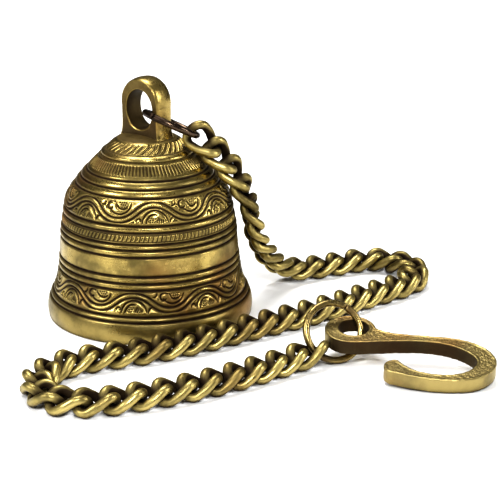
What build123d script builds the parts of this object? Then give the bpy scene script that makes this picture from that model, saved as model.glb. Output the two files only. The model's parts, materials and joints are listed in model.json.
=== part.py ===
from build123d import *
import math
import os

# A brass temple bell standing on its mouth, with a clapper inside, a jump ring through its crown
# loop, a curb chain that lies over the shoulder and along the table, a second jump ring and a
# flat cast hook. Millimetres, +Z up, origin at the centre of the mouth, on the table.
os.makedirs("parts", exist_ok=True)

# driving dimensions of the bell
MOUTH_RADIUS = 43.7
INNER_MOUTH_RADIUS = 40.2
DISC_RADIUS = 19.5  # small raised disc under the crown boss
DISC_BASE_Z = 70.0
DISC_TOP_Z = 71.6
DISC_EDGE_IN = 1.2  # the disc's upper edge is bevelled
DISC_EDGE_UP = 0.7
DOME_MIDDLE = (13.8, 76.0)
BOSS_TOP_RADIUS = 9.0
BOSS_TOP_Z = 78.2
INNER_TOP_Z = 64.5
INNER_TOP_RADIUS = 16.0
GROOVE_WIRE = 0.55  # radius of the turned grooves

# outside of the bell from the rim up to the disc, as radius and height
OUTER_PROFILE = [
    (44.15, 4.0),
    (43.4, 8.0),
    (41.2, 12.2),
    (39.0, 20.5),
    (38.1, 31.0),
    (36.5, 44.0),
    (33.9, 54.0),
    (27.9, 62.0),
    (21.8, 68.6),
]
# inside of the bell, from the mouth up to the flat under the crown
INNER_PROFILE = [
    (40.2, 6.0),
    (37.6, 12.5),
    (35.4, 21.0),
    (34.4, 31.0),
    (32.8, 44.0),
    (29.6, 53.5),
    (22.5, 61.0),
]
# turned grooves, as radius and height on the outside
GROOVES = [
    (42.8, 9.2),
    (41.65, 11.3),
    (38.9, 21.6),
    (38.6, 24.4),
    (38.4, 27.3),
    (37.75, 35.4),
    (37.4, 38.3),
    (37.05, 40.8),
    (36.25, 45.4),
    (35.7, 48.1),
    (31.1, 58.5),
    (28.5, 61.3),
    (25.9, 64.2),
]

# crown loop: a flat plate with an arched top, turned about the bell's axis
LOOP_TURN = -128.3  # direction of the plate's face, degrees from +X
LOOP_WIDTH = 20.0
LOOP_THICK = 9.4
LOOP_TOP_Z = 102.4
LOOP_SIDE_Z = 90.0  # where the straight sides end and the arch begins
LOOP_FOOT_WIDTH = 22.0
LOOP_FOOT_SUNK = 2.5  # how far the plate runs down into the boss before it is trimmed
HOLE_WIDTH = 14.2
HOLE_LOW_Z = 80.6
HOLE_HIGH_Z = 97.4

# clapper and what it hangs on
STAPLE_RADIUS = 4.6
STAPLE_WIRE = 1.3
STAPLE_LOW_Z = 57.6
LINK_RING_RADIUS = 4.8
LINK_RING_WIRE = 1.2
CLAPPER_EYE_RADIUS = 4.0
CLAPPER_EYE_WIRE = 1.3
HANG_GAP = 0.3  # play where one ring rides in another
ROD_RADIUS = 1.9
ROD_INTO_EYE = 0.2  # how far the rod runs into the wire of its eye
ROD_FOOT = 1.0  # how far the rod stands out below the ball
BALL_RADIUS = 9.0
BALL_Z = 14.5

# jump rings
JUMP_RADIUS = 11.6
JUMP_WIRE = 1.3
CROWN_RING_CENTRE = Vector(10.5, -5.0, 83.3)
CROWN_RING_SLOPE = Vector(0.909, 0.0, -0.416)  # from the loop's hole down to the chain
CROWN_RING_ACROSS = Vector(0.0, 0.977, -0.21)
HOOK_RING_CENTRE = Vector(76.3, -57.6, 11.4)
HOOK_RING_NORMAL = Vector(0.30, -0.80, 0.52)

# curb chain
LINK_COUNT = 50
LINK_WIRE = 1.76
LINK_END_X = 7.3  # from a link's middle to the middle of its end bar
LINK_END_HALF = 6.1  # half the length of an end bar, along its slant
LINK_SIDE_HALF = 5.2  # from the link's axis out to the middle of a side
LINK_TWIST = -101.0  # degrees between a link's two ends, left-handed
LINK_END_BEND = 3.8
LINK_SIDE_BEND = 7.0
TURNED_LINKS = 8  # the hanging links, each turned a little about the chain's line
LINK_TURN = 11.5
# the chain's middle line, from the crown ring to the hook ring
ROUTE = [
    (20.2, -5.1, 79.4),
    (27.2, -4.3, 72.9),
    (32.7, -3.3, 66.7),
    (37.1, -2.2, 60.2),
    (40.9, -1.0, 52.9),
    (43.2, 1.2, 45.2),
    (44.8, 4.6, 37.5),
    (46.0, 9.2, 30.3),
    (48.8, 15.5, 23.0),
    (52.0, 22.5, 15.5),
    (56.8, 29.6, 9.4),
    (63.3, 35.6, 5.5),
    (71.2, 39.8, 4.5),
    (80.0, 43.6, 4.46),
    (88.5, 47.9, 4.46),
    (97.3, 51.2, 4.46),
    (106.0, 50.6, 4.46),
    (113.3, 45.6, 4.46),
    (117.7, 37.2, 4.46),
    (117.9, 27.6, 4.46),
    (113.9, 19.2, 4.46),
    (107.6, 13.4, 4.46),
    (100.0, 7.4, 4.46),
    (92.0, 1.0, 4.46),
    (82.0, -7.6, 4.46),
    (72.0, -15.2, 4.46),
    (60.0, -23.6, 4.46),
    (48.0, -31.6, 4.46),
    (36.0, -39.6, 4.46),
    (24.5, -47.4, 4.46),
    (13.0, -54.3, 4.46),
    (0.0, -60.9, 4.46),
    (-13.0, -65.8, 4.46),
    (-24.0, -70.6, 4.46),
    (-32.5, -77.2, 4.46),
    (-37.0, -86.0, 4.46),
    (-37.6, -95.4, 4.46),
    (-33.8, -104.0, 4.46),
    (-26.0, -109.6, 4.46),
    (-16.5, -110.6, 4.46),
    (-6.0, -108.0, 4.46),
    (7.0, -103.0, 4.46),
    (21.0, -96.3, 4.46),
    (35.0, -87.8, 4.46),
    (47.0, -79.2, 4.46),
    (58.5, -70.6, 4.6),
    (70.2, -63.4, 6.2),
]

# hook: a flat casting that rests on its bend and tip, with its eye held up by the ring
HOOK_TILT = 10.0
HOOK_FRONT_Y = -91.0  # line along X that the hook leans about
HOOK_FRONT_Z = 0.4
HOOK_THICK = 6.0
EYE_CENTRE = (83.0, 35.6)
EYE_RADIUS = 10.2
EYE_HOLE_CENTRE = (84.4, 36.6)
EYE_HOLE_RADIUS = 6.1
# outline of the hook in its own plane: round the outside, over the tip, then back along the inside
HOOK_OUTSIDE = [
    (82.0, 44.0),
    (88.0, 42.6),
    (94.5, 35.0),
    (103.0, 31.7),
    (117.0, 29.6),
    (130.5, 25.0),
    (137.9, 12.0),
    (131.5, 0.9),
    (116.5, -1.9),
    (98.2, 3.4),
]
HOOK_TIP_MIDDLE = (94.2, 9.2)
HOOK_INSIDE = [
    (100.0, 12.6),
    (105.0, 6.1),
    (115.0, 2.4),
    (126.0, 4.8),
    (130.2, 11.5),
    (125.0, 20.4),
    (114.0, 25.4),
    (100.0, 26.2),
    (84.0, 25.2),
]


def wire_ring(middle, normal, radius, wire):
    """A closed round-wire ring, as a solid of its own."""
    return Plane(origin=middle, z_dir=normal) * Torus(radius, wire, mode=Mode.PRIVATE)


def save(block, name):
    block.part.label = name
    export_step(block.part, f"parts/{name}.step")


# ---- bell shell, turned
with BuildPart() as bell_shell:
    with BuildSketch(Plane.XZ):
        with BuildLine():
            Line((INNER_MOUTH_RADIUS, 0), (MOUTH_RADIUS, 0))
            outside = Spline((MOUTH_RADIUS, 0), *OUTER_PROFILE)
            disc = Polyline(
                outside @ 1,
                (DISC_RADIUS, DISC_BASE_Z),
                (DISC_RADIUS, DISC_TOP_Z),
                (DISC_RADIUS - DISC_EDGE_IN, DISC_TOP_Z + DISC_EDGE_UP),
            )
            dome = Spline(disc @ 1, DOME_MIDDLE, (BOSS_TOP_RADIUS, BOSS_TOP_Z))
            crown = Polyline(
                dome @ 1,
                (0, BOSS_TOP_Z),
                (0, INNER_TOP_Z),
                (INNER_TOP_RADIUS, INNER_TOP_Z),
            )
            Spline(crown @ 1, *reversed(INNER_PROFILE), (INNER_MOUTH_RADIUS, 0))
        make_face()
        with Locations(*GROOVES):
            Circle(GROOVE_WIRE, mode=Mode.SUBTRACT)
    revolve(axis=Axis.Z)
save(bell_shell, "bell_shell")

# ---- crown loop, cast on the boss; its foot follows the dome
loop_face = Vector(math.cos(math.radians(LOOP_TURN)), math.sin(math.radians(LOOP_TURN)), 0)
loop_side = Vector(0, 0, 1).cross(loop_face)
loop_plane = Plane(origin=(0, 0, 0), x_dir=loop_side, z_dir=loop_face)
with BuildPart() as crown_loop:
    with BuildSketch(loop_plane.offset(-LOOP_THICK / 2)):
        with BuildLine():
            foot_z = BOSS_TOP_Z - LOOP_FOOT_SUNK
            left = Line((-LOOP_FOOT_WIDTH / 2, foot_z), (-LOOP_WIDTH / 2, LOOP_SIDE_Z))
            arch = ThreePointArc(left @ 1, (0, LOOP_TOP_Z), (LOOP_WIDTH / 2, LOOP_SIDE_Z))
            Polyline(arch @ 1, (LOOP_FOOT_WIDTH / 2, foot_z), left @ 0)
        make_face()
    extrude(amount=LOOP_THICK)
    with BuildSketch(loop_plane.offset(-LOOP_THICK)):
        with Locations((0, (HOLE_LOW_Z + HOLE_HIGH_Z) / 2)):
            Ellipse(HOLE_WIDTH / 2, (HOLE_HIGH_Z - HOLE_LOW_Z) / 2)
    extrude(amount=2 * LOOP_THICK, mode=Mode.SUBTRACT)
    add(bell_shell.part, mode=Mode.SUBTRACT)
save(crown_loop, "crown_loop")

# ---- staple cast into the underside of the crown, for the clapper
staple_arms_z = STAPLE_LOW_Z + STAPLE_RADIUS
with BuildPart() as inner_staple:
    with BuildLine() as staple_path:
        arm = Line((-STAPLE_RADIUS, 0, INNER_TOP_Z), (-STAPLE_RADIUS, 0, staple_arms_z))
        bow = ThreePointArc(arm @ 1, (0, 0, STAPLE_LOW_Z), (STAPLE_RADIUS, 0, staple_arms_z))
        Line(bow @ 1, (STAPLE_RADIUS, 0, INNER_TOP_Z))
    with BuildSketch(Plane(origin=staple_path.line @ 0, z_dir=staple_path.line % 0)):
        Circle(STAPLE_WIRE)
    sweep()
save(inner_staple, "inner_staple")

# ---- ring between the staple and the clapper's eye
link_ring_top_z = STAPLE_LOW_Z + STAPLE_WIRE + LINK_RING_WIRE + HANG_GAP
link_ring_z = link_ring_top_z - LINK_RING_RADIUS
link_ring_low_z = link_ring_z - LINK_RING_RADIUS
with BuildPart() as clapper_ring:
    add(wire_ring(Vector(0, 0, link_ring_z), Vector(1, 0, 0), LINK_RING_RADIUS, LINK_RING_WIRE))
save(clapper_ring, "clapper_ring")

# ---- clapper: rod with an eye, and the ball riveted on its foot
eye_top_z = link_ring_low_z + LINK_RING_WIRE + CLAPPER_EYE_WIRE + HANG_GAP
eye_z = eye_top_z - CLAPPER_EYE_RADIUS
rod_top_z = eye_z - CLAPPER_EYE_RADIUS + ROD_INTO_EYE
rod_foot_z = BALL_Z - BALL_RADIUS - ROD_FOOT
with BuildPart() as clapper_rod:
    add(wire_ring(Vector(0, 0, eye_z), Vector(0, 1, 0), CLAPPER_EYE_RADIUS, CLAPPER_EYE_WIRE))
    with BuildSketch(Plane.XY.offset(rod_foot_z)):
        Circle(ROD_RADIUS)
    extrude(amount=rod_top_z - rod_foot_z)
save(clapper_rod, "clapper_rod")

with BuildPart() as clapper_ball:
    with Locations((0, 0, BALL_Z)):
        Sphere(BALL_RADIUS)
        Cylinder(ROD_RADIUS, 4 * BALL_RADIUS, mode=Mode.SUBTRACT)
save(clapper_ball, "clapper_ball")

# ---- jump ring through the crown loop
with BuildPart() as crown_ring:
    crown_ring_normal = CROWN_RING_SLOPE.cross(CROWN_RING_ACROSS)
    add(wire_ring(CROWN_RING_CENTRE, crown_ring_normal, JUMP_RADIUS, JUMP_WIRE))
save(crown_ring, "crown_ring")

# ---- curb chain: one link is a slanted end bar, two sides and the other end bar, bent as a loop
half_twist = math.radians(LINK_TWIST / 2)
bar_y = LINK_END_HALF * math.cos(half_twist)
bar_z = LINK_END_HALF * math.sin(half_twist)
with BuildPart() as one_link:
    with BuildLine() as link_path:
        FilletPolyline(
            (0, LINK_SIDE_HALF, 0),
            (LINK_END_X, bar_y, bar_z),
            (LINK_END_X, -bar_y, -bar_z),
            (0, -LINK_SIDE_HALF, 0),
            (-LINK_END_X, -bar_y, bar_z),
            (-LINK_END_X, bar_y, -bar_z),
            radius=[LINK_SIDE_BEND, *[LINK_END_BEND] * 2, LINK_SIDE_BEND, *[LINK_END_BEND] * 2],
            close=True,
        )
    # a closed wire is swept as two open halves
    runs = link_path.wires()[0].order_edges()
    for half in (Wire(runs[: len(runs) // 2]), Wire(runs[len(runs) // 2 :])):
        with BuildSketch(Plane(origin=half @ 0, z_dir=half % 0)):
            Circle(LINK_WIRE)
        sweep(path=half)

route = Spline(*ROUTE)
flat_side = Vector(0, 0, 1)
for number in range(LINK_COUNT, 0, -1):
    start = route @ ((number - 1) / LINK_COUNT)
    end = route @ (number / LINK_COUNT)
    along = (end - start).normalized()
    # each link carries on the flat side of the one after it, and the first links turn away from it
    flat_side = (flat_side - along * flat_side.dot(along)).normalized()
    if number <= TURNED_LINKS:
        flat_side = flat_side.rotate(Axis((0, 0, 0), along), LINK_TURN)
    seat = Plane(origin=(start + end) / 2, x_dir=along, z_dir=flat_side)
    with BuildPart() as chain_link:
        add(seat * one_link.part)
    save(chain_link, f"chain_link_{number:02d}")

# ---- jump ring between the chain and the hook
with BuildPart() as hook_ring:
    add(wire_ring(HOOK_RING_CENTRE, HOOK_RING_NORMAL, JUMP_RADIUS, JUMP_WIRE))
save(hook_ring, "hook_ring")

# ---- hook
tilt = math.radians(HOOK_TILT)
hook_plane = Plane(
    origin=(0, HOOK_FRONT_Y, HOOK_FRONT_Z), x_dir=(1, 0, 0), z_dir=(0, -math.sin(tilt), math.cos(tilt))
)
with BuildPart() as hook:
    with BuildSketch(hook_plane):
        with BuildLine():
            back = Spline(*HOOK_OUTSIDE)
            tip = ThreePointArc(back @ 1, HOOK_TIP_MIDDLE, HOOK_INSIDE[0])
            mouth = Spline(tip @ 1, *HOOK_INSIDE[1:])
            Line(mouth @ 1, back @ 0)
        make_face()
        with Locations(EYE_CENTRE):
            Circle(EYE_RADIUS)
        with Locations(EYE_HOLE_CENTRE):
            Circle(EYE_HOLE_RADIUS, mode=Mode.SUBTRACT)
    extrude(amount=HOOK_THICK)
save(hook, "hook")
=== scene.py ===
import json
import math

import bpy
import numpy as np
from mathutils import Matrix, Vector, kdtree

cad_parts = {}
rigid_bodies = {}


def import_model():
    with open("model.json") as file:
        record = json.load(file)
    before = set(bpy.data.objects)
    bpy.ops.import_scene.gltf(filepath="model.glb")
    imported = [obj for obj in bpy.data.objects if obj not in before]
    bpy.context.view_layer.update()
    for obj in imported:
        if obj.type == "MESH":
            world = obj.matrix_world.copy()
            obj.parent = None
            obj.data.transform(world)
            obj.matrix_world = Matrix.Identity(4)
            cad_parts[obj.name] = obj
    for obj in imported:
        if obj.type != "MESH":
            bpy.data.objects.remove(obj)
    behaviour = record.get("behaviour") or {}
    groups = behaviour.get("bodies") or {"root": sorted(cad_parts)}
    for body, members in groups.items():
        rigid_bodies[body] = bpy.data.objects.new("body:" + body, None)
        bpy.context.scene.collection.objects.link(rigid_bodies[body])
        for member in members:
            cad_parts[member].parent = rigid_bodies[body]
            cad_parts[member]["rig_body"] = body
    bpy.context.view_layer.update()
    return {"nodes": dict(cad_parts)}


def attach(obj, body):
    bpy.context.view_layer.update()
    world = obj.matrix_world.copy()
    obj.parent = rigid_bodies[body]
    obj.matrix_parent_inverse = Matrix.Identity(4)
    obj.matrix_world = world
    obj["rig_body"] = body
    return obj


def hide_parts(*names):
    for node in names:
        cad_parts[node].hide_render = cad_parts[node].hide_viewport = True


# A brass temple bell on its mouth, with its chain, jump rings and hook. Metres, +Z up.
# Shapes below are worked out in millimetres and scaled by MM when a mesh is made.
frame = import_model()
nodes = frame["nodes"]
MM = 0.001
TURN = 2 * math.pi
rng = np.random.default_rng(7)

# ---------------------------------------------------------------- camera
CAMERA_PLACE = (0.0409, -0.6309, 0.2377)
CAMERA_DOWN = 18.52  # degrees below the horizon
CAMERA_YAW = -0.21
CAMERA_LENS = 111.4

camera_data = bpy.data.cameras.new("camera")
camera_data.lens = CAMERA_LENS
camera_data.sensor_width = 36.0
camera = bpy.data.objects.new("camera", camera_data)
camera.location = CAMERA_PLACE
camera.rotation_euler = (math.radians(90 - CAMERA_DOWN), 0, math.radians(CAMERA_YAW))
bpy.context.scene.collection.objects.link(camera)
bpy.context.scene.camera = camera


# ---------------------------------------------------------------- node helpers
def new_material(name):
    material = bpy.data.materials.new(name)
    material.use_nodes = True
    tree = material.node_tree
    return material, tree, tree.nodes["Principled BSDF"]


def add_node(tree, kind, **settings):
    node = tree.nodes.new(kind)
    for key, value in settings.items():
        setattr(node, key, value)
    return node


def noise(tree, vector, scale, detail, rough):
    node = add_node(tree, "ShaderNodeTexNoise")
    node.inputs["Scale"].default_value = scale
    node.inputs["Detail"].default_value = detail
    node.inputs["Roughness"].default_value = rough
    tree.links.new(vector, node.inputs["Vector"])
    return node.outputs["Fac"]


def spread(tree, value, low, high, to_low=0.0, to_high=1.0):
    """Maps low..high of a value to to_low..to_high, held at the ends."""
    node = add_node(tree, "ShaderNodeMapRange", interpolation_type="SMOOTHSTEP")
    tree.links.new(value, node.inputs["Value"])
    node.inputs["From Min"].default_value = low
    node.inputs["From Max"].default_value = high
    node.inputs["To Min"].default_value = to_low
    node.inputs["To Max"].default_value = to_high
    return node.outputs["Result"]


def calculate(tree, operation, first, second):
    node = add_node(tree, "ShaderNodeMath", operation=operation)
    for socket, value in zip(node.inputs, (first, second)):
        if isinstance(value, (int, float)):
            socket.default_value = value
        else:
            tree.links.new(value, socket)
    return node.outputs[0]


def mix_colour(tree, amount, first, second):
    """First to second colour by amount. Each colour is a tuple or a socket."""
    # the node has sockets for each data type: inputs 6 and 7 and output 2 are its colours
    node = add_node(tree, "ShaderNodeMix", data_type="RGBA")
    tree.links.new(amount, node.inputs["Factor"])
    for socket, value in zip(node.inputs[6:8], (first, second)):
        if isinstance(value, tuple):
            socket.default_value = (*value, 1.0)
        else:
            tree.links.new(value, socket)
    return node.outputs[2]


def bump(tree, height, strength, distance, under=None):
    node = add_node(tree, "ShaderNodeBump")
    node.inputs["Strength"].default_value = strength
    node.inputs["Distance"].default_value = distance
    tree.links.new(height, node.inputs["Height"])
    if under is not None:
        tree.links.new(under, node.inputs["Normal"])
    return node.outputs["Normal"]


# ---------------------------------------------------------------- materials
BRASS = (0.47, 0.362, 0.132)
OLIVE = (0.19, 0.153, 0.062)
COPPER = (0.47, 0.255, 0.085)
# dark colour for patina in cut lines and for painted shade
SHADE_AND_PATINA = (0.018, 0.009, 0.006)


def aged_brass(
    name,
    bright=BRASS,
    dull=OLIVE,
    warm=COPPER,
    rough=(0.22, 0.40),
    turned=0.0,
    grain=0.25,
    shade_reach=0.0025,
):
    """Old brass: darkened by a per-point attribute of patina and painted shade, and by painted shade in
    tight corners; patchy and warm elsewhere.
    """
    material, tree, shader = new_material(name)
    place = add_node(tree, "ShaderNodeTexCoord").outputs["Object"]
    patches = noise(tree, place, 55.0, 5.0, 0.6)
    warm_patches = noise(tree, place, 28.0, 2.0, 0.5)
    specks = noise(tree, place, 900.0, 3.0, 0.6)

    colour = mix_colour(tree, spread(tree, patches, 0.40, 0.66), bright, dull)
    colour = mix_colour(tree, spread(tree, warm_patches, 0.52, 0.72, 0.0, 0.55), colour, warm)
    patina_and_shade = add_node(tree, "ShaderNodeAttribute", attribute_name="patina_and_shade").outputs["Fac"]
    # painted shade: ambient occlusion darkens tight corners, broken up by the specks
    corners = add_node(tree, "ShaderNodeAmbientOcclusion", samples=8)
    corners.inputs["Distance"].default_value = shade_reach
    tight = spread(tree, corners.outputs["AO"], 0.35, 0.85, 1.0, 0.0)
    ragged = calculate(tree, "MULTIPLY", tight, spread(tree, specks, 0.30, 0.60, 0.6, 1.0))
    dark = calculate(tree, "MAXIMUM", patina_and_shade, ragged)
    colour = mix_colour(tree, calculate(tree, "MULTIPLY", dark, 0.96), colour, SHADE_AND_PATINA)
    tree.links.new(colour, shader.inputs["Base Color"])
    tree.links.new(spread(tree, dark, 0.25, 0.95, 1.0, 0.10), shader.inputs["Metallic"])
    shader.inputs["Specular IOR Level"].default_value = 0.10

    shine = spread(tree, patches, 0.35, 0.70, rough[0], rough[1])
    shine = calculate(tree, "ADD", shine, spread(tree, specks, 0.35, 0.75, -0.03, 0.06))
    shine = calculate(tree, "ADD", shine, calculate(tree, "MULTIPLY", dark, 0.22))
    tree.links.new(shine, shader.inputs["Roughness"])

    normal = bump(tree, specks, grain, 0.00008)
    if turned > 0:
        squeeze = add_node(tree, "ShaderNodeMapping")
        squeeze.inputs["Scale"].default_value = (0.03, 0.03, 1.0)
        tree.links.new(place, squeeze.inputs["Vector"])
        lines = noise(tree, squeeze.outputs["Vector"], 2600.0, 3.0, 0.6)
        normal = bump(tree, lines, turned, 0.00010, normal)
    tree.links.new(normal, shader.inputs["Normal"])
    return material


bell_metal = aged_brass("bell_metal", turned=0.35)
rim_metal = aged_brass(
    "rim_metal", bright=(0.35, 0.275, 0.105), dull=(0.20, 0.16, 0.065), rough=(0.30, 0.42), turned=0.5
)
loop_metal = aged_brass("loop_metal", dull=(0.24, 0.175, 0.06), grain=0.35, rough=(0.26, 0.40))
inside_metal = aged_brass(
    "inside_metal", bright=(0.30, 0.23, 0.10), dull=(0.17, 0.13, 0.06), rough=(0.40, 0.60), turned=0.6
)
chain_metal = aged_brass(
    "chain_metal",
    bright=(0.50, 0.41, 0.165),
    dull=(0.17, 0.135, 0.055),
    warm=(0.32, 0.235, 0.09),
    rough=(0.35, 0.48),
    grain=0.2,
    shade_reach=0.004,
)
ring_metal = aged_brass(
    "ring_metal", bright=(0.41, 0.32, 0.13), dull=(0.14, 0.10, 0.05), warm=(0.38, 0.23, 0.10), grain=0.3
)
dark_ring_metal = aged_brass(
    "dark_ring_metal",
    bright=(0.11, 0.078, 0.055),
    dull=(0.040, 0.028, 0.020),
    warm=(0.09, 0.05, 0.035),
    grain=0.3,
)
hook_metal = aged_brass(
    "hook_metal", bright=(0.38, 0.305, 0.130), dull=(0.24, 0.195, 0.090), rough=(0.34, 0.46), grain=0.5
)
clapper_metal = aged_brass(
    "clapper_metal", bright=(0.44, 0.34, 0.16), dull=(0.22, 0.17, 0.08), rough=(0.34, 0.55), grain=0.6
)


# ---------------------------------------------------------------- mesh helpers
def make_object(name, points, faces, material, patina_and_shade=None):
    """A smooth mesh object from points in millimetres, with an optional per-point value of patina and
    painted shade.
    """
    mesh = bpy.data.meshes.new(name)
    mesh.from_pydata((np.asarray(points) * MM).tolist(), [], faces)
    if patina_and_shade is not None:
        layer = mesh.attributes.new("patina_and_shade", "FLOAT", "POINT")
        layer.data.foreach_set("value", np.clip(np.asarray(patina_and_shade, float).ravel(), 0, 1))
    mesh.shade_smooth()
    mesh.materials.append(material)
    made = bpy.data.objects.new(name, mesh)
    bpy.context.scene.collection.objects.link(made)
    return made


def grid_faces(rows, columns, close_rows=False):
    """Quads over a grid whose columns close into a ring."""
    i = np.arange(rows if close_rows else rows - 1)[:, None]
    j = np.arange(columns)[None, :]
    up = (i + 1) % rows
    beside = (j + 1) % columns
    corners = [i * columns + j, i * columns + beside, up * columns + beside, up * columns + j]
    return np.stack([np.broadcast_to(c, (i.size, columns)) for c in corners], -1).reshape(-1, 4).tolist()


def curve_through(points):
    """A function of the second coordinate that runs smoothly through (value, height) points."""
    value = np.array([p[0] for p in points], float)
    height = np.array([p[1] for p in points], float)
    slope = np.gradient(value, height)

    def at(z):
        z = np.asarray(z, float)
        k = np.clip(np.searchsorted(height, z) - 1, 0, len(height) - 2)
        step = height[k + 1] - height[k]
        t = (z - height[k]) / step
        a = (1 + 2 * t) * (1 - t) ** 2
        b = t * (1 - t) ** 2 * step
        c = t * t * (3 - 2 * t)
        d = t * t * (t - 1) * step
        return a * value[k] + b * slope[k] + c * value[k + 1] + d * slope[k + 1]

    return at


# ---------------------------------------------------------------- bell wall
OUTER_WALL = [
    (43.7, 0.0),
    (44.15, 4.0),
    (43.4, 8.0),
    (41.2, 12.2),
    (39.0, 20.5),
    (38.1, 31.0),
    (36.5, 44.0),
    (33.9, 54.0),
    (27.9, 62.0),
    (21.8, 68.6),
    (20.4, 70.0),
]
INNER_WALL = [
    (40.2, 0.0),
    (40.2, 6.0),
    (37.6, 12.5),
    (35.4, 21.0),
    (34.4, 31.0),
    (32.8, 44.0),
    (29.6, 53.5),
    (22.5, 61.0),
    (18.5, 63.6),
]
outer_radius = curve_through(OUTER_WALL)
inner_radius = curve_through(INNER_WALL)
# the turned grooves by height; neighbours in a group have a rounded ridge between them
GROOVE_GROUPS = [
    (9.15, 11.3),
    (21.6, 24.35, 27.3),
    (35.4, 38.3, 40.7),
    (45.35, 48.15),
    (58.5, 61.35, 64.25),
]
GROOVE_DEEP = 0.72
GROOVE_WIDE = 0.50
GROOVE_DARK = 1.25  # over 1, so that the whole floor of a groove is dark
GROOVE_DARK_WIDE = 0.70
RIDGE_HIGH = 0.28


def wall(z):
    """Radius, and the outward normal's radial and upward parts, at a height on the wall."""
    step = 0.05
    radius = outer_radius(z)
    slope = (outer_radius(z + step) - outer_radius(z - step)) / (2 * step)
    length = np.sqrt(1 + slope**2)
    return radius, 1 / length, -slope / length


def turned_relief(z):
    """Height of the turned grooves and ridges, and how dark they are."""
    _, radial, _ = wall(z)
    height = np.zeros_like(z)
    dark = np.zeros_like(z)
    for group in GROOVE_GROUPS:
        for middle in group:
            away = (z - middle) / radial
            height -= GROOVE_DEEP * np.exp(-((away / GROOVE_WIDE) ** 2))
            dark = np.maximum(dark, GROOVE_DARK * np.exp(-((away / GROOVE_DARK_WIDE) ** 2)))
        for low, high in zip(group, group[1:]):
            along = np.clip((z - low) / (high - low), 0, 1)
            height += RIDGE_HIGH * np.sin(math.pi * along) ** 1.2
    return height, dark


def wall_strip(name, low, high, rows, columns, material, pattern=None):
    """One strip of the wall between two heights, with its turned and engraved relief."""
    z = np.linspace(low, high, rows)
    angle = np.linspace(0, TURN, columns, endpoint=False)
    radius, radial, upward = wall(z)
    height, dark = turned_relief(z)
    height = np.repeat(height[:, None], columns, 1)
    dark = np.repeat(dark[:, None], columns, 1)
    if pattern is not None:
        more, darker = pattern(angle, z, radius)
        height = height + more
        dark = np.maximum(dark, darker)
    r = radius[:, None] + height * radial[:, None]
    points = np.stack(
        [r * np.cos(angle), r * np.sin(angle), z[:, None] + height * upward[:, None]], -1
    )
    strip = make_object(name, points.reshape(-1, 3), grid_faces(rows, columns), material, dark)
    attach(strip, "bell")


# ---- engraved patterns
def strokes_near(points, strokes):
    """Distance from points to the nearest stroke, in half widths of that stroke."""
    near = np.full(len(points), 9.0)
    for line, half in strokes:
        away = np.sqrt(((points[:, None] - line[None]) ** 2).sum(-1)) / half[None]
        near = np.minimum(near, away.min(1))
    return near


def stroke(points, wide, taper=True):
    """A stroke along points, thinner towards both ends if it tapers."""
    share = np.linspace(0, 1, len(points))
    half = wide * (0.40 + 0.60 * np.sin(math.pi * share) ** 0.6) if taper else np.full(len(points), wide)
    return np.asarray(points, float), half


def arc(middle, across, up, start, end, count=60):
    """Points on an ellipse from one angle to another, in degrees."""
    angle = np.radians(np.linspace(start, end, count))
    return np.stack([middle[0] + across * np.cos(angle), middle[1] + up * np.sin(angle)], -1)


def spiral(middle, start, sweep, outer, inner, count):
    """Points that wind from the outer radius in to the inner one, angles in degrees."""
    share = np.linspace(0, 1, count)
    angle = math.radians(start) + math.radians(sweep) * share
    radius = outer + (inner - outer) * share**0.85
    return np.stack([middle[0] + radius * np.cos(angle), middle[1] + radius * np.sin(angle)], -1)


def dot(x, y, half):
    """A small round punch mark."""
    return np.array([[x, y]]), np.array([half])


def crest_leaf(half_band, wobble):
    """The leaf under one crest: an inner arch, a beaded rosette and a row of short slanted cuts."""
    low = -0.98 * half_band
    lean = 0.3 * wobble[0]
    strokes = [
        stroke(arc((0.6 + lean, low), 5.2, 1.22 * half_band, 180, 8), 0.42),
        stroke(arc((0.1 + lean, low), 3.1, 0.86 * half_band, 178, 70), 0.34),
        stroke(spiral((-5.9, low + 1.6), 200, -230, 1.3, 0.5, 40), 0.32),
        stroke(arc((7.9, low), 1.7, 2.7 + 0.2 * wobble[1], 175, 60, 30), 0.32),
    ]
    centre = (-1.2 + lean, low + 1.75)
    for number in range(7):
        angle = TURN * (number + 0.5 * wobble[2]) / 7
        strokes.append(dot(centre[0] + 1.0 * math.cos(angle), centre[1] + 1.0 * math.sin(angle), 0.24))
    strokes.append(dot(*centre, 0.26))
    for number in range(4):
        foot = np.array([1.1 + 0.92 * number + lean, low + 0.75 + 0.12 * wobble[3]])
        run = np.linspace(0, 2.5 - 0.42 * number, 12)[:, None]
        way = np.array([math.sin(0.42 - 0.16 * number), math.cos(0.42 - 0.16 * number)])
        strokes.append(stroke(foot + way * run, 0.26))
    return strokes


def trough_leaf(half_band, wobble):
    """The leaf above one trough: a curl on its left, a beaded fan on its right."""
    high = 0.98 * half_band
    lean = 0.3 * wobble[0]
    strokes = [
        stroke(spiral((-3.1 + lean, high - 2.2), 40, 285, 2.2, 1.0, 60), 0.40),
        stroke(arc((0.8 + lean, high), 5.0, 1.12 * half_band, -150, -12), 0.36),
        stroke(arc((2.0 + lean, high + 0.2), 2.9, 0.72 * half_band, -165, -40), 0.30),
        stroke(arc((-7.2, high), 1.5, 2.2 + 0.2 * wobble[1], -5, -110, 30), 0.30),
    ]
    for row, count in enumerate((4, 3, 2)):
        for number in range(count):
            x = 0.6 + 0.95 * number + 0.55 * row + lean
            strokes.append(dot(x, high - 0.75 - 0.85 * row, 0.24))
    return strokes


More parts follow.
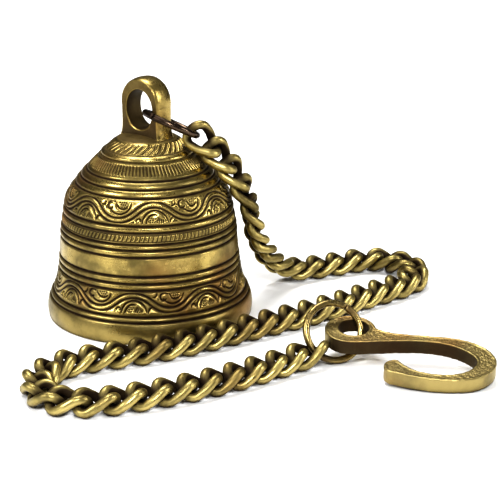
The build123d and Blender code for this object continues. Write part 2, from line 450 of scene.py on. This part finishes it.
def scroll_strokes(period, half_band, wobble):
    """A running scroll: a winding ribbon, with a leaf under each crest and above each trough."""
    rise = half_band * 0.70
    t = np.linspace(-0.62, 0.62, 300)
    stem = np.stack([period * (t + 0.016 * np.sin(2 * TURN * t)), rise * np.cos(TURN * t)], -1)
    step = np.gradient(stem, axis=0)
    normal = np.stack([-step[:, 1], step[:, 0]], -1) / np.linalg.norm(step, axis=1)[:, None]
    strokes = [stroke(stem + side * normal, 0.46, False) for side in (-1.05, 1.05)]
    strokes += crest_leaf(half_band, wobble)
    for line, half in trough_leaf(half_band, wobble[::-1]):
        for shift in (-period / 2, period / 2):
            strokes.append((line + np.array([shift, 0]), half))
    return strokes


SCROLL_GROUND = 0.30  # how far the metal between the strokes stands out
SCROLL_CUT = 0.62
SCROLL_SINK = 0.26  # the shallow hollow that spreads out from each stroke
SCROLL_SINK_WIDE = 2.4  # in half widths of the stroke
SCROLL_DARK = 1.35
SCROLL_DARK_WIDE = 1.15


def scroll_band(low, high, repeats, crest_turn):
    """A pattern function for a scroll band between two heights; crest_turn places one crest."""

    def pattern(angle, z, radius):
        middle = (low + high) / 2
        at = float(outer_radius(middle))
        _, radial, _ = wall(np.array([middle]))
        half_band = (high - low) / 2 / float(radial[0])
        period = TURN * at / repeats
        height = np.zeros((len(z), len(angle)))
        dark = np.zeros_like(height)
        turn = (angle - math.radians(crest_turn)) / TURN * repeats
        cell = np.round(turn).astype(int)
        across = (z - middle) / (high - low) * 2 * half_band
        fade = np.clip((half_band - np.abs(across)) / 0.5, 0, 1)[:, None]
        for number in np.unique(cell):
            wobble = np.random.default_rng(int(number) % repeats + 11).uniform(-1, 1, 6)
            columns = np.where(cell == number)[0]
            along = (turn[columns] - number) * period
            spots = np.stack(np.meshgrid(along, across), -1).reshape(-1, 2)
            near = strokes_near(spots, scroll_strokes(period, half_band, wobble))
            near = near.reshape(len(z), len(columns))
            cut = np.exp(-(near**2))
            sink = np.exp(-((near / SCROLL_SINK_WIDE) ** 2))
            height[:, columns] = SCROLL_GROUND - SCROLL_CUT * cut - SCROLL_SINK * sink
            dark[:, columns] = SCROLL_DARK * np.exp(-((near / SCROLL_DARK_WIDE) ** 2))
        return height * fade, dark * fade

    return pattern


def rope_pattern(angle, z, radius):
    """A ring of slanted blocks between two thin lines."""
    low, high, count, slant = 41.75, 44.55, 128, 0.32
    wall_radius = 36.8
    cut_wide, line_wide = 0.36, 0.28
    block_high, cut_deep, line_deep = 0.12, 0.45, 0.40
    spacing = TURN * wall_radius / count
    share = angle[None, :] / TURN * count - slant * (z[:, None] - low) / spacing
    away = np.abs(share - np.round(share)) * spacing
    inside = np.clip((z - low) / 0.25, 0, 1) * np.clip((high - z) / 0.25, 0, 1)
    cut = np.exp(-((away / cut_wide) ** 2)) * inside[:, None]
    line = np.exp(-(((z - low) / line_wide) ** 2)) + np.exp(-(((z - high) / line_wide) ** 2))
    height = block_high * inside[:, None] - cut_deep * cut - line_deep * line[:, None]
    return height, np.maximum(cut, line[:, None])


def tick_pattern(angle, z, radius):
    """Short wedge cuts that hang from the disc down over the shoulder."""
    count, low, high, slant = 96, 65.7, 69.6, 0.10
    point_wide, widening, cut_deep = 0.16, 0.42, 0.50
    share = angle[None, :] / TURN * count + slant * (z[:, None] - low)
    away = np.abs(share - np.round(share)) * TURN * radius[:, None] / count
    rise = np.clip((z - low) / (high - low), 0, 1)[:, None]
    wide = point_wide + widening * rise
    inside = np.clip((z - low) / 0.5, 0, 1) * np.clip((high - z) / 0.4, 0, 1)
    cut = np.exp(-((away / wide) ** 2)) * inside[:, None]
    return -cut_deep * cut, cut


wall_strip("bell_rim", 0.0, 11.3, 90, 288, rim_metal)
wall_strip("bell_low_scroll", 11.3, 21.6, 76, 1160, bell_metal, scroll_band(12.3, 21.0, 8, -96.6))
wall_strip("bell_waist", 21.6, 40.7, 150, 288, bell_metal)
wall_strip("bell_rope", 40.7, 45.35, 34, 1280, bell_metal, rope_pattern)
wall_strip("bell_collar", 45.35, 48.15, 24, 288, bell_metal)
wall_strip("bell_high_scroll", 48.15, 58.5, 78, 1036, bell_metal, scroll_band(49.0, 57.7, 7, -82.7))
wall_strip("bell_shoulder", 58.5, 65.2, 60, 288, bell_metal)
wall_strip("bell_ticks", 65.2, 70.0, 36, 1152, bell_metal, tick_pattern)


# ---- crown: raised disc and dome with slanted leaf cuts
# radius and height, from the shoulder out over the disc, then up the dome
CROWN_DISC = [
    (20.4, 69.9),
    (19.2, 70.0),
    (19.35, 70.35),
    (19.5, 70.8),
    (19.45, 71.3),
    (19.1, 71.75),
    (18.4, 72.15),
]
CROWN_DOME = [
    (17.8, 72.5),
    (17.0, 73.2),
    (15.5, 74.6),
    (13.8, 75.9),
    (11.8, 77.0),
    (9.5, 77.9),
    (5.0, 78.4),
    (0.4, 78.5),
]
DISC_FOOT_Z, DOME_FOOT_Z = 70.0, 72.75
LEAF_LOW_Z, LEAF_HIGH_Z = 72.9, 76.3
LEAF_COUNT = 34
LEAF_SLANT = 0.42
LEAF_CUT_WIDE, LEAF_CUT_DEEP = 0.54, 0.50
FINE_LINE_AWAY, FINE_LINE_WIDE = 1.0, 0.20  # a fine line runs beside each leaf cut
# height above which the dome top gets painted shade round the loop's foot
FOOT_SHADE_LOW_Z = 76.2


def crown_profile():
    """Radius and height in even steps over the disc and the dome, smoothed a little."""
    corners = np.array(CROWN_DISC + CROWN_DOME)
    away = np.concatenate([[0], np.cumsum(np.linalg.norm(np.diff(corners, axis=0), axis=1))])
    along = np.linspace(0, away[-1], 96)
    radius = np.interp(along, away, corners[:, 0])
    z = np.interp(along, away, corners[:, 1])
    for _ in range(2):
        radius[1:-1] = (radius[:-2] + 2 * radius[1:-1] + radius[2:]) / 4
        z[1:-1] = (z[:-2] + 2 * z[1:-1] + z[2:]) / 4
    return radius, z


def make_crown():
    """The disc and dome, with slanted leaf cuts round the dome and painted shade at the foot of the
    loop.
    """
    columns = 1024
    radius, z = crown_profile()
    angle = np.linspace(0, TURN, columns, endpoint=False)
    step_r, step_z = np.gradient(radius), np.gradient(z)
    length = np.hypot(step_r, step_z)
    out_r, out_z = step_z / length, -step_r / length
    inside = np.clip((z - LEAF_LOW_Z) / 0.5, 0, 1) * np.clip((LEAF_HIGH_Z - z) / 0.5, 0, 1)
    share = angle[None, :] / TURN * LEAF_COUNT - LEAF_SLANT * (z[:, None] - 73)
    away = (share - np.round(share)) * TURN * radius[:, None] / LEAF_COUNT
    fine_line = np.exp(-(((away - FINE_LINE_AWAY) / FINE_LINE_WIDE) ** 2))
    cut = np.exp(-((away / LEAF_CUT_WIDE) ** 2)) + 0.7 * fine_line
    cut = np.clip(cut, 0, 1) * inside[:, None]
    ring = np.exp(-(((z - DOME_FOOT_Z) / 0.22) ** 2))
    ring = ring + 0.8 * np.exp(-(((z - DISC_FOOT_Z) / 0.3) ** 2))
    height = -LEAF_CUT_DEEP * cut - 0.20 * ring[:, None]
    r = radius[:, None] + height * out_r[:, None]
    up = z[:, None] + height * out_z[:, None]
    points = np.stack([r * np.cos(angle), r * np.sin(angle), up], -1)
    # painted shade: the top of the dome, round the loop's foot, is darkened
    foot_shade = 0.80 * np.clip((z - FOOT_SHADE_LOW_Z) / 0.7, 0, 1)
    dark = np.maximum(np.maximum(cut, ring[:, None]), foot_shade[:, None])
    crown = make_object(
        "bell_crown", points.reshape(-1, 3), grid_faces(len(z), columns), bell_metal, dark
    )
    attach(crown, "bell")


make_crown()


# ---- inside of the bell
def make_inside():
    """The rim's flat face, the inner wall and the flat under the crown, as one surface."""
    columns = 256
    top_z = 64.5
    rim_face = [43.7, 43.0, 41.9, 40.8]
    under_crown = [15.0, 10.0, 5.0, 0.5]
    wall_z = np.linspace(0.0, INNER_WALL[-1][1], 90)
    radius = np.concatenate([rim_face, inner_radius(wall_z), under_crown])
    z = np.concatenate([[0.0] * len(rim_face), wall_z, [64.4, top_z, top_z, top_z]])
    angle = np.linspace(0, TURN, columns, endpoint=False)
    around = np.stack([np.cos(angle), np.sin(angle)], -1)
    flat = radius[:, None, None] * around
    points = np.concatenate([flat, np.repeat(z[:, None, None], columns, 1)], -1)
    faces = [face[::-1] for face in grid_faces(len(z), columns)]
    inside = make_object("bell_inside", points.reshape(-1, 3), faces, inside_metal)
    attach(inside, "bell")
    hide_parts("bell_shell")


# ---- crown loop
LOOP_TURN = -128.3  # degrees, the way the plate's broad face looks
LOOP_MIDDLE_Z = 89.0
LOOP_THICK = 9.4
HOLE_HALF_WIDE, HOLE_HALF_HIGH = 7.1, 8.4


def loop_outline():
    """Outline of the loop's plate as (across, z): arch, straight sides that flare at the foot, foot."""
    arch_radius, arch_z, side_z = 10.23, 92.17, 90.0
    foot_z, foot_half, side_half = 75.9, 11.6, 10.0
    below = math.asin((arch_z - side_z) / arch_radius)
    turns = np.linspace(-below, math.pi + below, 120)
    arch = np.stack([arch_radius * np.cos(turns), arch_z + arch_radius * np.sin(turns)], -1)
    drop = np.linspace(0, 1, 50)[1:]
    flare = side_half + (foot_half - side_half) * drop**3
    left = np.stack([-flare, side_z + (foot_z - side_z) * drop], -1)
    middle = np.linspace(-foot_half, foot_half, 40)[1:-1]
    foot = np.stack([middle, np.full(len(middle), foot_z)], -1)
    right = np.stack([flare[::-1], left[::-1, 1]], -1)
    return np.concatenate([arch, left, foot, right])


def loop_section():
    """Section of the plate as (share from hole to outline, share of half its thickness), going round."""
    bulge = np.linspace(-1, 1, 15)
    side = np.stack([0.80 + 0.20 * np.sqrt(1 - 0.97 * bulge**2), 0.97 * bulge], -1)
    flat = np.stack([np.linspace(0.80, 0.14, 9), np.ones(9)], -1)
    lip = np.array([(0.06, 0.975), (0.015, 0.91), (0.0, 0.80)])
    hole = np.stack([np.zeros(7), np.linspace(0.65, -0.65, 7)], -1)
    below = np.concatenate([lip[::-1], flat[::-1]]) * (1, -1)
    return np.concatenate([side, flat, lip, hole, below])


def make_loop():
    """The loop's plate, swept round its hole, with painted shade on its broad faces, deeper towards the
    foot, and on the hole's wall; its rounded edge is left bright.
    """
    outer = loop_outline()
    section = loop_section()
    way = np.arctan2(outer[:, 1] - LOOP_MIDDLE_Z, outer[:, 0])
    inner = np.stack([HOLE_HALF_WIDE * np.cos(way), LOOP_MIDDLE_Z + HOLE_HALF_HIGH * np.sin(way)], -1)
    share = section[:, 0]
    flat = inner[:, None] * (1 - share[None, :, None]) + outer[:, None] * share[None, :, None]
    spread_foot = 1 + 0.16 * np.clip((80.5 - flat[..., 1]) / 4.5, 0, 1) ** 2
    thick = LOOP_THICK / 2 * section[None, :, 1] * spread_foot
    turn = math.radians(LOOP_TURN)
    face = np.array([math.cos(turn), math.sin(turn), 0])
    side = np.array([-math.sin(turn), math.cos(turn), 0])
    points = flat[..., :1] * side + thick[..., None] * face
    points[..., 2] += flat[..., 1]
    # painted shade: the broad faces are darkened, more towards the foot, and the hole's wall more still
    broad = (np.abs(section[:, 1]) > 0.98) & (share < 0.79)
    low_down = np.clip((93.0 - flat[..., 1]) / 14.0, 0, 1)
    dark = np.where(broad[None], 0.64 + 0.30 * low_down, 0.0)
    dark = np.maximum(dark, np.where(share[None] < 0.03, 0.92, 0.0))
    loop = make_object(
        "bell_loop",
        points.reshape(-1, 3),
        grid_faces(len(outer), len(section), close_rows=True),
        loop_metal,
        dark,
    )
    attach(loop, "bell")
    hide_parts("crown_loop")


make_loop()
make_inside()


# ---------------------------------------------------------------- pieces taken from the CAD solids
def welded(node):
    """Points in millimetres, triangles and outward normals of a CAD node, with shared corners merged."""
    mesh = node.data
    points = np.zeros(len(mesh.vertices) * 3)
    mesh.vertices.foreach_get("co", points)
    mesh.calc_loop_triangles()
    faces = np.zeros(len(mesh.loop_triangles) * 3, int)
    mesh.loop_triangles.foreach_get("vertices", faces)
    points = np.round(points.reshape(-1, 3) / MM, 4)
    points, where = np.unique(points, axis=0, return_inverse=True)
    faces = where.ravel()[faces].reshape(-1, 3)
    keep = (faces[:, 0] != faces[:, 1]) & (faces[:, 1] != faces[:, 2]) & (faces[:, 2] != faces[:, 0])
    faces = faces[keep]
    return points, faces, point_normals(points, faces)


def point_normals(points, faces):
    """Outward unit normals per point, weighted by triangle area."""
    first, second, third = (points[faces[:, k]] for k in range(3))
    across = np.cross(second - first, third - first)
    normals = np.zeros_like(points)
    for k in range(3):
        np.add.at(normals, faces[:, k], across)
    return normals / np.maximum(np.linalg.norm(normals, axis=1), 1e-12)[:, None]


LINK_PLUMP = 0.14  # the wire seen stands this far outside the CAD wire, all round
RING_PLUMP = 0.12
# neighbours that come closest to each other at the end of their travel are thinner
TIGHT_PLUMP = 0.03
TIGHT_LINKS = ("chain_link_05", "chain_link_06", "chain_link_38", "chain_link_39")


def make_link(name, body):
    """A chain link, bright where it faces out from the chain's line and dark elsewhere: wear and a
    painted highlight outside, patina and painted shade inside.
    """
    points, faces, normals = welded(nodes[name])
    spoke = points - points.mean(0)
    _, _, axes = np.linalg.svd(spoke, full_matrices=False)
    spoke -= np.outer(spoke @ axes[0], axes[0])
    reach = np.linalg.norm(spoke, axis=1)
    facing_out = (normals * spoke).sum(1) / np.maximum(reach, 0.1)
    # partly wear, partly painted light: painted highlight where the wire faces out, patina and painted
    # shade where it faces in, where links overlap
    wear_and_highlight = np.clip((facing_out + 0.04) / 0.62, 0, 1) * np.clip((reach - 1.5) / 3.0, 0, 1)
    dark = (1 - wear_and_highlight) ** 0.75
    plump = TIGHT_PLUMP if name in TIGHT_LINKS else LINK_PLUMP
    link = make_object(name + "_worn", points + plump * normals, faces.tolist(), chain_metal, dark)
    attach(link, body)
    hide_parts(name)


def make_ring(name, body, seam_turn, metal):
    """A jump ring bent from wire, with the butt joint of its two ends at seam_turn degrees."""
    points, _, _ = welded(nodes[name])
    middle = points.mean(0)
    _, _, axes = np.linalg.svd(points - middle, full_matrices=False)
    along, side, up = axes[0], axes[1], np.cross(axes[0], axes[1])
    flat = np.hypot((points - middle) @ along, (points - middle) @ side)
    wire = (flat.max() - flat.min()) / 2 + RING_PLUMP
    radius = (flat.max() + flat.min()) / 2
    gap = 1.6  # degrees between the two ends
    chamfer = np.array([0.35, 0.08])  # taken off the last two rounds of points at each end
    steps, around = 220, 20
    turn = np.radians(np.linspace(seam_turn + gap / 2, seam_turn + 360 - gap / 2, steps))
    roll = np.linspace(0, TURN, around, endpoint=False)
    out = np.cos(turn)[:, None] * along + np.sin(turn)[:, None] * side
    thick = np.full(steps, wire)
    thick[:2] -= chamfer
    thick[-2:] -= chamfer[::-1]
    ring = middle + out[:, None] * (radius + thick[:, None] * np.cos(roll))[..., None]
    ring = ring + (thick[:, None] * np.sin(roll))[..., None] * up
    faces = grid_faces(steps, around)
    faces.append(list(range(around - 1, -1, -1)))
    faces.append([(steps - 1) * around + k for k in range(around)])
    made = make_object(name + "_bent", ring.reshape(-1, 3), [f[::-1] for f in faces], metal)
    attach(made, body)
    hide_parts(name)


# ---- hook: rounded edges, and a stippled top inside a bright rim
HOOK_TILT = 10.0
HOOK_FRONT = (0, -91.0, 0.4)
HOOK_THICK = 6.0
HOOK_MIDDLE = (115.0, 12.0)  # inside the bend, in the hook's own plane
HOOK_EYE = (84.4, 36.6)
HOOK_EYE_RADIUS = 6.1
HOOK_VOXEL = 0.24
# strength of the painted shade on the hook's inner sides and eye front
HOOK_PAINTED_SHADE = 0.93
RIM_WIDE = 0.75
STIPPLE_COUNT, STIPPLE_RADIUS, STIPPLE_DEEP = 15000, 0.19, 0.26


def remeshed(node, voxel):
    """Points in millimetres and triangles of a voxel remesh of a CAD node."""
    copy = bpy.data.objects.new("remesh_source", node.data.copy())
    bpy.context.scene.collection.objects.link(copy)
    remesh = copy.modifiers.new("remesh", "REMESH")
    remesh.mode = "VOXEL"
    remesh.voxel_size = voxel * MM
    shape = bpy.data.meshes.new_from_object(copy.evaluated_get(bpy.context.evaluated_depsgraph_get()))
    bpy.data.objects.remove(copy)
    points = np.zeros(len(shape.vertices) * 3)
    shape.vertices.foreach_get("co", points)
    faces = np.array([list(p.vertices) for p in shape.polygons])
    return points.reshape(-1, 3) / MM, faces


def relaxed(points, faces, rounds):
    """Points moved towards the mean of their neighbours a few times, which rounds the edges."""
    beside = np.concatenate([np.stack([faces[:, k], faces[:, (k + 1) % 4]], -1) for k in range(4)])
    count = np.zeros(len(points))
    np.add.at(count, beside[:, 0], 1)
    np.add.at(count, beside[:, 1], 1)
    for _ in range(rounds):
        total = np.zeros_like(points)
        np.add.at(total, beside[:, 0], points[beside[:, 1]])
        np.add.at(total, beside[:, 1], points[beside[:, 0]])
        points = 0.4 * points + 0.6 * total / count[:, None]
    return points


def nearest(tree_points, points):
    """Distance from each point to the nearest of the tree's points."""
    tree = kdtree.KDTree(len(tree_points))
    for k, spot in enumerate(tree_points):
        tree.insert(spot, k)
    tree.balance()
    return np.array([tree.find(spot)[2] for spot in points])


def make_hook():
    """The hook with rounded edges, a stippled top inside its rim, and painted shade on its inner sides
    and the front of its eye.
    """
    points, faces = remeshed(nodes["hook"], HOOK_VOXEL)
    points = relaxed(points, faces, 5)
    triangles = np.concatenate([faces[:, :3], faces[:, [0, 2, 3]]])
    normals = point_normals(points, triangles)
    tilt = math.radians(HOOK_TILT)
    up = np.array([0, -math.sin(tilt), math.cos(tilt)])
    level = (points - np.array(HOOK_FRONT)) @ up
    facing = normals @ up
    top = (level > HOOK_THICK - 0.6) & (facing > 0.93)
    edge = (level > HOOK_THICK - 2.0) & (facing < 0.75)
    rim = nearest(points[edge], points[top])
    inset = np.clip((rim - RIM_WIDE) / 0.45, 0, 1)
    low, high = points.min(0), points.max(0)
    dots = rng.uniform(low[:2], high[:2], (STIPPLE_COUNT, 2))
    dots = np.column_stack([dots, np.zeros(len(dots))])
    flat = np.column_stack([points[top][:, :2], np.zeros(top.sum())])
    bead = np.exp(-((nearest(dots, flat) / STIPPLE_RADIUS) ** 2))
    height = np.zeros(len(points))
    # painted shade: the sides that face into the bend and the eye's hole, and the front of the eye, are
    # darkened
    back = np.array([0, math.cos(tilt), math.sin(tilt)])
    own = np.stack([points[:, 0], (points - np.array(HOOK_FRONT)) @ back], -1)
    own_normal = np.stack([normals[:, 0], normals @ back], -1)
    towards = np.array(HOOK_MIDDLE) - own
    towards /= np.linalg.norm(towards, axis=1)[:, None]
    inner = np.clip(((own_normal * towards).sum(1) - 0.10) / 0.35, 0, 1)
    in_eye = np.linalg.norm(own - np.array(HOOK_EYE), axis=1) < HOOK_EYE_RADIUS + 0.8
    inner = np.where(in_eye, np.linalg.norm(own_normal, axis=1), inner) * (1 - np.abs(facing)) ** 0.5
    front_of_eye = (own[:, 0] < 97.0) & (own[:, 1] > 20.0) & ~in_eye
    inner = np.maximum(inner, front_of_eye * np.clip((-own_normal[:, 1] - 0.35) / 0.35, 0, 1))
    dark = HOOK_PAINTED_SHADE * inner
    height[top] = inset * (-STIPPLE_DEEP + 0.24 * bead)
    dark[top] = np.maximum(dark[top], inset * (0.62 - 0.62 * bead))
    uneven = 0.05 * np.sin(points[:, 0] * 1.3) * np.cos(points[:, 1] * 1.7 + 0.6 * points[:, 0])
    points = points + normals * (height + uneven)[:, None]
    hook = make_object("hook_cast", points, faces.tolist(), hook_metal, dark)
    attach(hook, "hook")
    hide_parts("hook")


make_hook()
make_ring("crown_ring", "crown_ring", 120, dark_ring_metal)
make_ring("hook_ring", "hook_ring", 30, ring_metal)
for name, node in nodes.items():
    if name.startswith("chain_link"):
        make_link(name, node.get("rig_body", "bell"))

# ---------------------------------------------------------------- CAD nodes shown as they are
NODE_METAL = {
    "inner_staple": clapper_metal,
    "clapper_ring": ring_metal,
    "clapper_rod": clapper_metal,
    "clapper_ball": clapper_metal,
}
for name, metal in NODE_METAL.items():
    nodes[name].data.materials.clear()
    nodes[name].data.materials.append(metal)

# ---------------------------------------------------------------- floor, light
floor_mesh = bpy.data.meshes.new("floor")
FLOOR_HALF = 9
FLOOR_Z = -0.0002  # just under the rim's flat face
floor_corners = [(x * FLOOR_HALF, y * FLOOR_HALF, 0) for x, y in ((-1, -1), (1, -1), (1, 1), (-1, 1))]
floor_mesh.from_pydata(floor_corners, [], [(0, 1, 2, 3)])
floor = bpy.data.objects.new("floor", floor_mesh)
floor.location.z = FLOOR_Z
bpy.context.scene.collection.objects.link(floor)
floor_material, floor_tree, floor_shader = new_material("floor_paint")
floor_shader.inputs["Base Color"].default_value = (0.93, 0.93, 0.93, 1)
floor_shader.inputs["Roughness"].default_value = 0.6
floor_shader.inputs["Specular IOR Level"].default_value = 0.2
floor_place = add_node(floor_tree, "ShaderNodeTexCoord").outputs["Object"]
# far from the bell the floor glows white to the camera, so that no horizon shows
floor_far = add_node(floor_tree, "ShaderNodeVectorMath", operation="LENGTH")
floor_tree.links.new(floor_place, floor_far.inputs[0])
far_glow = spread(floor_tree, floor_far.outputs["Value"], 0.20, 1.0, 0.0, 1.0)
floor_seen = add_node(floor_tree, "ShaderNodeLightPath").outputs["Is Camera Ray"]
far_glow = calculate(floor_tree, "MULTIPLY", far_glow, floor_seen)
floor_tree.links.new(far_glow, floor_shader.inputs["Emission Strength"])
floor_shader.inputs["Emission Color"].default_value = (1, 1, 1, 1)
floor_mesh.materials.append(floor_material)


def softbox(name, place, aim, width, height, power):
    data = bpy.data.lights.new(name, "AREA")
    data.shape = "RECTANGLE"
    data.size = width
    data.size_y = height
    data.energy = power
    light = bpy.data.objects.new(name, data)
    light.location = place
    light.rotation_euler = (Vector(aim) - Vector(place)).to_track_quat("-Z", "Y").to_euler()
    bpy.context.scene.collection.objects.link(light)


AIM = (0.02, -0.02, 0.04)
softbox("front_light", (0.10, -1.0, 0.80), AIM, 0.22, 0.26, 8)
softbox("left_light", (-1.0, -0.60, 0.75), AIM, 0.50, 0.6, 9.5)
softbox("right_light", (1.15, -0.22, 0.50), AIM, 0.16, 0.7, 5)
softbox("top_light", (-0.1, 0.30, 1.3), AIM, 0.8, 0.5, 11)

world = bpy.data.worlds.new("studio")
world.use_nodes = True
sky_tree = world.node_tree
background = sky_tree.nodes["Background"]
sky_place = add_node(sky_tree, "ShaderNodeTexCoord").outputs["Generated"]
split = add_node(sky_tree, "ShaderNodeSeparateXYZ")
sky_tree.links.new(sky_place, split.inputs["Vector"])
glow = spread(sky_tree, split.outputs["Z"], -0.1, 0.9, 0.05, 0.20)
seen = add_node(sky_tree, "ShaderNodeLightPath").outputs["Is Camera Ray"]
brightness = calculate(sky_tree, "MAXIMUM", glow, seen)
sky_tree.links.new(brightness, background.inputs["Strength"])
background.inputs["Color"].default_value = (1.0, 1.0, 1.0, 1)
bpy.context.scene.world = world
bpy.context.scene.view_settings.view_transform = "Standard"
bpy.context.scene.view_settings.look = "High Contrast"
